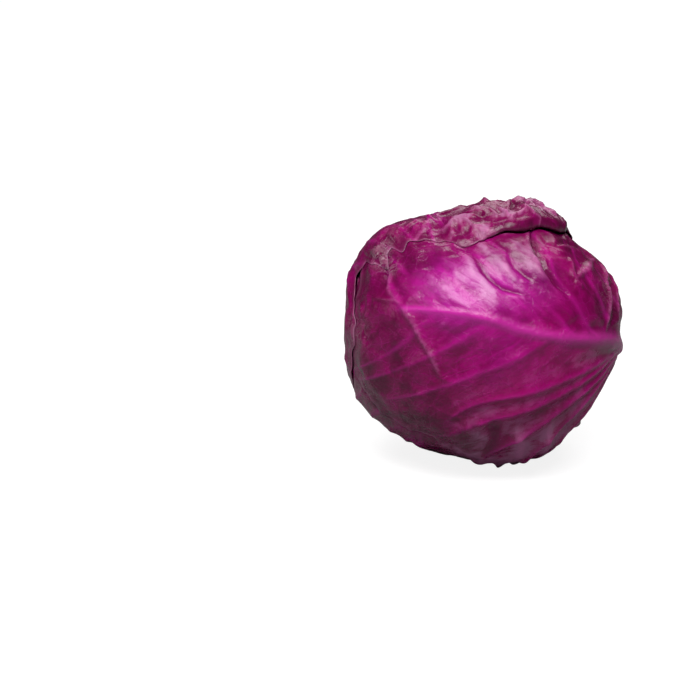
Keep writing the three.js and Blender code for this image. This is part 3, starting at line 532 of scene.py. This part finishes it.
def leaf_masks(leaf, way, row):
    """Where veins, margins, folds and the soft patches of the skin show, and where shade, highlight and
    sheen are painted.
    """
    from_ring = np.clip(row["from_stem"] - STEM_CLEAR, 0, 180)
    margin = np.clip(row["inside"], 0, 90)
    torn = share(patches_at(way, TORN))
    # painted shade along the top flap's free edge
    flap_edge_shade = 0.85 * row["flap"] * np.exp(-(margin / 5.5) ** 2)
    return dict(
        line=row["line"],
        core=row["core"],
        petiole=np.exp(-from_ring / 9) + 0.5 * row["middle"] * np.exp(-from_ring / 30),
        rim=np.exp(-margin / 1.1) * (1 - 0.8 * row["flap"]) * (0.3 + 0.7 * torn),
        panel=1 - np.exp(-(row["nearest"] / 5.0) ** 2),
        # wax, and painted sheen where its patches lie on the lamps' highlights
        bloom=share(leaf["bloom"] + patches_at(way, WAX_AND_SHEEN_PATCHES)),
        deep=share(patches_at(way, SHADE_PATCHES) + flap_edge_shade),
        # painted highlight where the key lamp's highlight falls
        painted_highlight=share(patches_at(way, HIGHLIGHT_PATCHES)),
        torn=torn,
        # painted highlight on the raised folds
        pale=share((row["folds"] - 0.8) / 0.6),
        # painted shade in the grooves
        fold=share(-row["folds"] / 2),
        # how high the surface stands, for wax on crests and painted shade in the hollows
        crest=share(row["crest"]),
    )


# The blade's own map: millimetres to a unit, and where the midrib's middle lies in it.
BLADE_MAP_UNIT = 100
BLADE_MAP_MIDDLE = 1.5
THICKNESS_LEVELS = 32


def lay_blade_map(piece, row):
    loops = np.zeros(len(piece.data.loops), np.int64)
    piece.data.loops.foreach_get("vertex_index", loops)
    flat = np.stack([row["x"], row["y"]], 1)[loops] / BLADE_MAP_UNIT + BLADE_MAP_MIDDLE
    piece.data.uv_layers.active.data.foreach_set("uv", flat.ravel())


def thicken(piece, thick):
    """Gives a blade its thickness inwards, at each corner a share of the deepest."""
    deepest = float(thick.max())
    levels = np.round(thick / deepest * THICKNESS_LEVELS)
    group = piece.vertex_groups.new(name="thickness")
    for level in range(THICKNESS_LEVELS + 1):
        near = np.where(levels == level)[0]
        if len(near):
            group.add(near.tolist(), level / THICKNESS_LEVELS, "REPLACE")
    shell = piece.modifiers.new("thickness", "SOLIDIFY")
    shell.thickness = deepest * MM
    shell.offset = -1
    shell.vertex_group = "thickness"
    bpy.ops.object.modifier_apply(modifier=shell.name)


def close_shell(merge=0.0):
    """Merges the seam of the piece in hand and points its faces outwards."""
    bpy.ops.object.mode_set(mode="EDIT")
    bpy.ops.mesh.select_all(action="SELECT")
    if merge:
        bpy.ops.mesh.remove_doubles(threshold=merge)
    bpy.ops.mesh.normals_make_consistent(inside=False)
    bpy.ops.object.mode_set(mode="OBJECT")


def dress(piece, skin):
    bpy.ops.object.shade_smooth()
    piece.data.materials.clear()
    piece.data.materials.append(skin)


def make_leaf(index, leaf, skin):
    """A fine blade over the leaf's own outline, thickened inwards."""
    count = leaf["mesh"]
    piece = grid(leaf["name"] + "_fine", count, count)
    co = corners(piece)
    out, angle = round_disc(co[:, 0], co[:, 1])
    arc = np.radians(out * outline(leaf, angle))
    t = np.radians(angle)
    way = (np.cos(arc)[:, None] * leaf["middle"]
           + (np.sin(arc) * np.cos(t))[:, None] * leaf["to_stem"]
           + (np.sin(arc) * np.sin(t))[:, None] * leaf["across"])
    row = stack(way)[1][index]
    move_corners(piece, HEAD_MIDDLE + way * row["outer"][:, None])
    lay_blade_map(piece, row)
    paint(piece, leaf_masks(leaf, way, row))
    thicken(piece, row["outer"] - row["inner"])
    dress(piece, skin)
    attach(piece, "root")
    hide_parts(leaf["name"])


# How far from the head's middle the heart ends behind the stump, and how far it stays below the leaves.
SOCKET_RADIUS = 50
HEART_CLEAR = 0.2


def make_heart(skin):
    """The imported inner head, which shows only between the leaf bases round the stem."""
    deselect()
    segments, rings = ((128, 96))
    bpy.ops.mesh.primitive_uv_sphere_add(segments=segments, ring_count=rings, radius=1)
    piece = bpy.context.object
    piece.name = piece.data.name = "heart_fine"
    turn = np.array([FRONT, UPWARD, STEM_AXIS])
    local = corners(piece)
    local[:, 1] *= -1
    way = local @ turn
    way /= np.linalg.norm(way, axis=1)[:, None]
    from_stem = np.degrees(np.arccos(np.clip(way @ STEM_AXIS, -1, 1)))
    heart = np.where(from_stem < STEM_CLEAR - 1, SOCKET_RADIUS, stack(way)[0] - HEART_CLEAR)
    move_corners(piece, HEAD_MIDDLE + way * heart[:, None])
    close_shell()
    masks = dict.fromkeys(LEAF_MASKS, 0)
    masks.update(petiole=np.exp(-from_stem / 14), panel=1, bloom=0.3, crest=0.5)
    paint(piece, masks)
    dress(piece, skin)
    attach(piece, "root")
    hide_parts("heart")


# The stem as (distance along its axis, radius): cut face, rim, stump, then the tapering core.
STEM_PROFILE = [
    (76.2, 0.0), (76.1, 5.0), (76.3, 9.5), (76.6, 13.4), (76.4, 14.9), (75.6, 15.7), (73.5, 15.9),
    (71, 15.7), (66, 14.3), (58, 12.6), (40, 9.6), (22, 7.2), (4, 4.6), (2, 0.0),
]
STEM_WIDEST = 16
CUT_START = 74.5
CUT_BLEND = 1.5
SEAM = 0.00002                   # metres within which the corners of the stem's seam are merged


def make_stem(skin):
    """The cut stump and core: a grid wrapped round the stem's axis along its profile."""
    around, along = ((120, 90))
    piece = grid("stem_fine", around, along)
    co = corners(piece)
    turn = co[:, 0] * math.pi
    step = (co[:, 1] + 1) / 2 * (len(STEM_PROFILE) - 1)
    marks = np.arange(len(STEM_PROFILE))
    distance = np.interp(step, marks, [p[0] for p in STEM_PROFILE])
    radius = np.interp(step, marks, [p[1] for p in STEM_PROFILE])
    cut = smooth((distance - CUT_START) / CUT_BLEND)
    rough = (0.18 * np.sin(5 * turn + radius * 1.3) + 0.12 * np.sin(11 * turn - radius * 0.9)
             + 0.15 * np.sin(radius * 1.9 + 2 * np.sin(3 * turn)))
    distance = distance + cut * rough * smooth(radius / 4)
    radius = radius * (1 + 0.008 * np.sin(7 * turn + 1) + 0.006 * np.sin(13 * turn))
    place_of = (distance[:, None] * STEM_AXIS + (radius * np.cos(turn))[:, None] * FRONT
                - (radius * np.sin(turn))[:, None] * UPWARD)
    move_corners(piece, HEAD_MIDDLE + place_of)
    paint(piece, dict(cut=cut, ring=radius / STEM_WIDEST))
    close_shell(SEAM)
    dress(piece, skin)
    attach(piece, "root")
    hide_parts("stem")


class Graph:
    """A short way to write a node tree."""

    def __init__(self, tree):
        self.tree = tree

    def node(self, kind, **settings):
        made = self.tree.nodes.new(kind)
        for key, value in settings.items():
            setattr(made, key, value)
        return made

    def join(self, source, target):
        if isinstance(source, (int, float, tuple)):
            target.default_value = source
        else:
            self.tree.links.new(source, target)

    def math(self, operation, a, b=0.0):
        made = self.node("ShaderNodeMath", operation=operation)
        for source, target in zip((a, b), made.inputs):
            self.join(source, target)
        return made.outputs[0]

    def times(self, a, *others):
        for other in others:
            a = self.math("MULTIPLY", a, other)
        return a

    def plus(self, a, *others):
        for other in others:
            a = self.math("ADD", a, other)
        return a

    def away(self, a, b):
        """The distance between two values."""
        return self.math("ABSOLUTE", self.math("SUBTRACT", a, b))

    def mix(self, factor, a, b):
        made = self.node("ShaderNodeMix", data_type="RGBA")
        self.join(factor, made.inputs["Factor"])
        for value, socket in ((a, made.inputs[6]), (b, made.inputs[7])):
            self.join((*value, 1) if isinstance(value, tuple) else value, socket)
        return made.outputs[2]

    def lay(self, colour, *layers):
        """Lays tints over a colour, each by its own mask and strength."""
        for mask, strength, tint in layers:
            colour = self.mix(self.times(mask, strength), colour, tint)
        return colour

    def ramp(self, value, low, high, bottom=0.0, top=1.0):
        made = self.node("ShaderNodeMapRange", interpolation_type="SMOOTHSTEP")
        for source, target in zip((value, low, high, bottom, top), made.inputs):
            self.join(source, target)
        return made.outputs[0]

    def noise(self, place_of, scale, detail=4.0, rough=0.55, distortion=0.0):
        made = self.node("ShaderNodeTexNoise")
        self.join(place_of, made.inputs["Vector"])
        for key, value in (("Scale", scale), ("Detail", detail), ("Roughness", rough),
                           ("Distortion", distortion)):
            made.inputs[key].default_value = value
        return made.outputs["Fac"]

    def value(self, name):
        return self.node("ShaderNodeAttribute", attribute_name=name).outputs["Fac"]


SKIN_OUTPUTS = [
    ("Color", "NodeSocketColor"),
    ("Roughness", "NodeSocketFloat"),
    ("Height", "NodeSocketFloat"),
]


def skin_group(name, build):
    """A node group that puts out what build returns: colour, roughness and relief."""
    tree = bpy.data.node_groups.new(name, "ShaderNodeTree")
    for title, kind in SKIN_OUTPUTS:
        tree.interface.new_socket(name=title, in_out="OUTPUT", socket_type=kind)
    g = Graph(tree)
    outputs = build(g)
    exit_node = g.node("NodeGroupOutput")
    for source, target in zip(outputs, exit_node.inputs):
        g.join(source, target)
    return tree


# The lean of the side veins against the midrib, and the scale of their streaks along them.
VEIN_COS, VEIN_SIN = 0.79, 0.61
STREAK_STRETCH = 0.28
# The two nets of finest veins: cells to a unit of the blade's map, width of their lines.
VEIN_NETS = [(13, 0.055), (38, 0.07)]


def streak_noise(g, blade):
    """Noise drawn out along the side veins, which lean towards the tip on both sides of the midrib."""
    parts = g.node("ShaderNodeSeparateXYZ")
    g.join(blade, parts.inputs[0])
    from_midrib = g.away(parts.outputs[1], BLADE_MAP_MIDDLE)
    along = g.plus(g.times(parts.outputs[0], VEIN_COS), g.times(from_midrib, VEIN_SIN))
    across = g.math("SUBTRACT", g.times(from_midrib, VEIN_COS), g.times(parts.outputs[0], VEIN_SIN))
    drawn = g.node("ShaderNodeCombineXYZ")
    g.join(g.times(along, STREAK_STRETCH), drawn.inputs[0])
    g.join(across, drawn.inputs[1])
    return g.noise(drawn.outputs[0], 26, 5, 0.6, 0.8)


def vein_nets(g, blade):
    """The finest veins, a wide net and a narrow one: edges of cells on the blade, pushed about."""
    push = g.node("ShaderNodeTexNoise")
    g.join(blade, push.inputs["Vector"])
    push.inputs["Scale"].default_value = 14
    pushed = g.node("ShaderNodeVectorMath", operation="MULTIPLY_ADD")
    g.join(push.outputs["Color"], pushed.inputs[0])
    pushed.inputs[1].default_value = (0.05, 0.05, 0.0)
    g.join(blade, pushed.inputs[2])
    nets = []
    for scale, width in VEIN_NETS:
        cells = g.node("ShaderNodeTexVoronoi", feature="DISTANCE_TO_EDGE", voronoi_dimensions="2D")
        g.join(pushed.outputs[0], cells.inputs["Vector"])
        cells.inputs["Scale"].default_value = scale
        nets.append(g.ramp(cells.outputs["Distance"], 0.0, width, 1.0, 0.0))
    return nets


# Colours of the leaves, the depth of their finest relief in metres, and their gloss.
CRIMSON = (0.165, 0.0003, 0.052)
MAGENTA = (0.32, 0.0005, 0.115)
MOTTLE = (0.45, 0.001, 0.20)
LIGHT_STREAK = (0.48, 0.0015, 0.23)
DARK_STREAK = (0.15, 0.0004, 0.045)
# painted highlight colour
HIGHLIGHT_VIOLET = (0.60, 0.02, 0.42)
# painted shade colour
SHADE_NEARLY_BLACK = (0.085, 0.0006, 0.030)
# painted shade in the hollows between crests
HOLLOW_SHADE = (0.12, 0.0004, 0.045)
FINE_VEIN = (0.50, 0.01, 0.30)
VEIN = (0.60, 0.010, 0.33)
MIDRIB = (0.68, 0.035, 0.42)
WAX = (0.40, 0.18, 0.33)
# painted sheen: the wax colour where the painted highlight lies
PAINTED_SHEEN_WAX = (0.70, 0.36, 0.58)
# painted highlight on the raised folds
FOLD_HIGHLIGHT = (0.62, 0.15, 0.40)
# painted shade in the grooves
PAINTED_GROOVE_SHADE = (0.13, 0.0005, 0.045)
TORN_SKIN = (0.52, 0.30, 0.38)
PETIOLE = (0.50, 0.24, 0.37)
RIM = (0.55, 0.26, 0.42)
LEAF_RELIEF = 0.0007
LEAF_GLOSS = 0.34


def wax_bloom(g, mask, broad, mottle, streak, small):
    """Wax lies on the crests and panels between the ribs and is rubbed off in patches; where it lies on the
    lamps' highlights it is painted sheen.
    """
    patches = g.ramp(g.plus(mottle, g.times(broad, 0.6)), 0.66, 0.96)
    wax_sheen = g.times(
        mask["bloom"],
        g.plus(0.3, g.times(mask["panel"], 0.7)),
        g.plus(0.45, g.times(patches, 0.7)),
        g.ramp(mask["crest"], 0.15, 0.75),
        # less wax shows where shade is painted
        g.ramp(mask["deep"], 0.2, 0.9, 1.0, 0.15),
        g.math("SUBTRACT", 1.0, g.times(small, 0.35)),
        g.ramp(streak, 0.3, 0.6, 0.6, 1.2),
    )
    return g.ramp(wax_sheen, 0.08, 0.7)


def torn_film(g, where, torn, streak):
    """Shreds of pale skin: thin loops with a fainter film between them."""
    flakes = g.noise(where, 170, 3, 0.5, 1.4)
    loops = g.ramp(g.away(flakes, 0.5), 0.008, 0.034, 1.0, 0.0)
    skin = g.ramp(g.plus(flakes, g.times(streak, 0.5)), 0.68, 0.94, 0.0, 0.35)
    return g.times(torn, g.math("MAXIMUM", g.times(loops, 0.85), skin))


def leaf_skin(g):
    """Colour, roughness and relief of a waxy red leaf, from the ground colour outwards, with painted shade,
    painted highlight and painted sheen among its layers.
    """
    where = g.node("ShaderNodeTexCoord").outputs["Object"]
    blade = g.node("ShaderNodeUVMap", uv_map="UVMap").outputs["UV"]
    mask = {name: g.value(name) for name in LEAF_MASKS}
    broad = g.noise(where, 28, 3)
    mottle = g.noise(where, 85, 5, 0.6, 0.4)
    fine = g.noise(where, 420, 4, 0.6)
    streak = streak_noise(g, blade)
    wide_net, narrow_net = vein_nets(g, blade)
    net = g.times(wide_net, g.ramp(mottle, 0.35, 0.6))
    small = g.times(narrow_net, g.ramp(broad, 0.4, 0.6))
    wax_sheen = wax_bloom(g, mask, broad, mottle, streak, small)
    film = torn_film(g, where, mask["torn"], streak)
    colour = g.mix(g.ramp(broad, 0.33, 0.62), CRIMSON, MAGENTA)
    colour = g.lay(
        colour,
        (g.ramp(mottle, 0.42, 0.72), 0.55, MOTTLE),
        (g.ramp(streak, 0.50, 0.70), 0.32, LIGHT_STREAK),
        (g.ramp(streak, 0.50, 0.32), 0.35, DARK_STREAK),
        # painted highlight where the key lamp's highlight falls
        (mask["painted_highlight"], g.ramp(streak, 0.3, 0.6, 0.5, 0.85), HIGHLIGHT_VIOLET),
        # painted shade at the head's sides, lower left and round the top flap
        (mask["deep"], g.ramp(mottle, 0.30, 0.62, 1.0, 0.55), SHADE_NEARLY_BLACK),
        # painted shade in the hollows, darker the lower the surface lies
        (g.math("SUBTRACT", 1.0, g.ramp(mask["crest"], 0.05, 0.65)), 0.7, HOLLOW_SHADE),
        (net, 0.18, FINE_VEIN),
        (mask["line"], 0.5, VEIN),
        (mask["core"], 0.6, MIDRIB),
        # wax, painted paler as sheen where the painted highlight lies
        (wax_sheen, 0.62, g.mix(mask["painted_highlight"], WAX, PAINTED_SHEEN_WAX)),
        # painted highlight on the raised folds
        (g.times(mask["pale"], g.ramp(fine, 0.35, 0.6, 0.3, 1.0)), 0.4, FOLD_HIGHLIGHT),
        # painted shade in the grooves
        (mask["fold"], 0.5, PAINTED_GROOVE_SHADE),
        (film, 0.8, TORN_SKIN),
        (g.math("MINIMUM", g.times(mask["petiole"], 0.6), 0.85), 1.0, PETIOLE),
        (mask["rim"], 0.75, RIM),
    )
    rough = g.plus(0.18, g.times(wax_sheen, 0.22), g.times(mottle, 0.14))
    height = g.plus(g.times(net, 0.1), g.times(small, 0.05), g.times(mottle, 0.9), g.times(fine, 0.22),
                    g.times(streak, 0.5), g.times(film, 0.5))
    return colour, rough, height


# The same for the cut stem.
STEM_FLESH = (0.68, 0.59, 0.40)
STEM_FLESH_PALE = (0.86, 0.80, 0.62)
STEM_BUNDLES = (0.50, 0.46, 0.24)
STEM_BLOTCH = (0.42, 0.27, 0.13)
STEM_EDGE = (0.30, 0.10, 0.16)
STUMP_SIDE = (0.42, 0.24, 0.30)
STEM_RELIEF = 0.0006
STEM_GLOSS = 0.35


def stem_skin(g):
    """Colour, roughness and relief of cut stem flesh, with its ring of bundles and purple edge."""
    where = g.node("ShaderNodeTexCoord").outputs["Object"]
    grain = g.noise(where, 260, 5, 0.65, 0.6)
    blotch = g.noise(where, 70, 3)
    ring, cut = g.value("ring"), g.value("cut")
    bundles = g.ramp(g.away(ring, 0.72), 0.0, 0.10, 1.0, 0.0)
    colour = g.lay(
        g.mix(grain, STEM_FLESH, STEM_FLESH_PALE),
        (bundles, 0.45, STEM_BUNDLES),
        (g.ramp(blotch, 0.5, 0.75), 0.5, STEM_BLOTCH),
        (g.ramp(ring, 0.86, 0.99), 0.75, STEM_EDGE),
        (g.math("SUBTRACT", 1.0, cut), 1.0, STUMP_SIDE),
    )
    return colour, g.plus(0.5, g.times(grain, 0.3)), g.plus(grain, g.times(bundles, 0.5))


def material(name, group, relief, gloss):
    made = bpy.data.materials.new(name)
    made.use_nodes = True
    g = Graph(made.node_tree)
    shader = made.node_tree.nodes["Principled BSDF"]
    skin = g.node("ShaderNodeGroup", node_tree=group)
    g.join(skin.outputs["Color"], shader.inputs["Base Color"])
    g.join(skin.outputs["Roughness"], shader.inputs["Roughness"])
    bump = g.node("ShaderNodeBump")
    bump.inputs["Distance"].default_value = relief
    bump.inputs["Strength"].default_value = 1.0
    g.join(skin.outputs["Height"], bump.inputs["Height"])
    g.join(bump.outputs["Normal"], shader.inputs["Normal"])
    shader.inputs["Specular IOR Level"].default_value = gloss
    return made


# Camera at the photograph's angle: distance and framing from the head's size in it.
MM_PER_PIXEL = 0.6
ELEVATION = math.radians(16)
DISTANCE = 1100
HEAD_PIXEL = (484, 332)
FRAME_PIXELS = 700
SENSOR = 36
RIGHT = np.array((1.0, 0.0, 0.0))
BACK = np.array((0.0, -math.cos(ELEVATION), math.sin(ELEVATION)))
UP = np.array((0.0, math.sin(ELEVATION), math.cos(ELEVATION)))


def make_camera():
    data = bpy.data.cameras.new("camera")
    camera = bpy.data.objects.new("camera", data)
    bpy.context.scene.collection.objects.link(camera)
    across = (HEAD_PIXEL[0] - FRAME_PIXELS / 2) * MM_PER_PIXEL
    upward = -(HEAD_PIXEL[1] - FRAME_PIXELS / 2) * MM_PER_PIXEL
    place_of = HEAD_MIDDLE - RIGHT * across - UP * upward + BACK * DISTANCE
    turn = Matrix((RIGHT, UP, BACK)).transposed()
    camera.matrix_world = Matrix.Translation(Vector(place_of) * MM) @ turn.to_4x4()
    data.sensor_width = SENSOR
    data.lens = DISTANCE / MM_PER_PIXEL * SENSOR / FRAME_PIXELS
    data.clip_start, data.clip_end = 0.05, 20
    bpy.context.scene.camera = camera


WHITE = (1, 1, 1, 1)
FLOOR_SIZE = 12
FLOOR_GREY = (0.27, 0.27, 0.27, 1)
PALE_FLOOR = 0.86
DIM_ROOM = 0.04
# Lamps, all aimed at the head: name, place, width and height in metres, watts.
LAMPS = [
    ("key", (-0.12, -0.70, 1.20), 1.3, 0.62, 24),
    ("back", (0.15, 0.85, 0.95), 1.0, 0.5, 5),
    ("left", (-1.2, -0.35, 0.6), 0.4, 0.6, 1.5),
]


def make_floor():
    """The camera sees the floor paler than what it throws back on the head, white far behind it."""
    deselect()
    bpy.ops.mesh.primitive_plane_add(size=FLOOR_SIZE, location=(0, 0, 0))
    floor = bpy.context.object
    floor.name = floor.data.name = "floor"
    pale = bpy.data.materials.new("pale_floor")
    pale.use_nodes = True
    shader = pale.node_tree.nodes["Principled BSDF"]
    shader.inputs["Base Color"].default_value = FLOOR_GREY
    shader.inputs["Roughness"].default_value = 0.9
    shader.inputs["Emission Color"].default_value = WHITE
    g = Graph(pale.node_tree)
    seen = g.node("ShaderNodeLightPath").outputs["Is Camera Ray"]
    apart = g.node("ShaderNodeVectorMath", operation="LENGTH")
    g.join(g.node("ShaderNodeTexCoord").outputs["Object"], apart.inputs[0])
    pale_here = g.ramp(apart.outputs["Value"], 0.15, 1.6, PALE_FLOOR, 1.0)
    g.join(g.times(seen, pale_here), shader.inputs["Emission Strength"])
    floor.data.materials.append(pale)


def make_room():
    """The room is white where the camera sees it and dim in what it throws on the head."""
    world = bpy.data.worlds.new("studio")
    bpy.context.scene.world = world
    world.use_nodes = True
    g = Graph(world.node_tree)
    sky = world.node_tree.nodes["Background"]
    sky.inputs["Color"].default_value = WHITE
    seen = g.node("ShaderNodeLightPath").outputs["Is Camera Ray"]
    g.join(g.plus(DIM_ROOM, g.times(seen, 1 - DIM_ROOM)), sky.inputs["Strength"])
    bpy.context.scene.view_settings.view_transform = "Standard"


def make_lamp(name, place_of, width, height, power):
    data = bpy.data.lights.new(name, "AREA")
    data.shape = "RECTANGLE"
    data.size = width
    data.size_y = height
    data.energy = power
    lamp = bpy.data.objects.new(name, data)
    bpy.context.scene.collection.objects.link(lamp)
    lamp.location = place_of
    aim = Vector(HEAD_MIDDLE * MM) - Vector(place_of)
    lamp.rotation_euler = aim.to_track_quat("-Z", "Y").to_euler()


make_camera()
make_floor()
make_room()
for lamp in LAMPS:
    make_lamp(*lamp)
waxy_leaf = material("waxy_leaf", skin_group("waxy_red_leaf", leaf_skin), LEAF_RELIEF, LEAF_GLOSS)
cut_stem = material("cut_stem_flesh", skin_group("cut_stem", stem_skin), STEM_RELIEF, STEM_GLOSS)
make_heart(waxy_leaf)
make_stem(cut_stem)
for index, leaf in enumerate(LEAVES):
    make_leaf(index, leaf, waxy_leaf)
deselect()
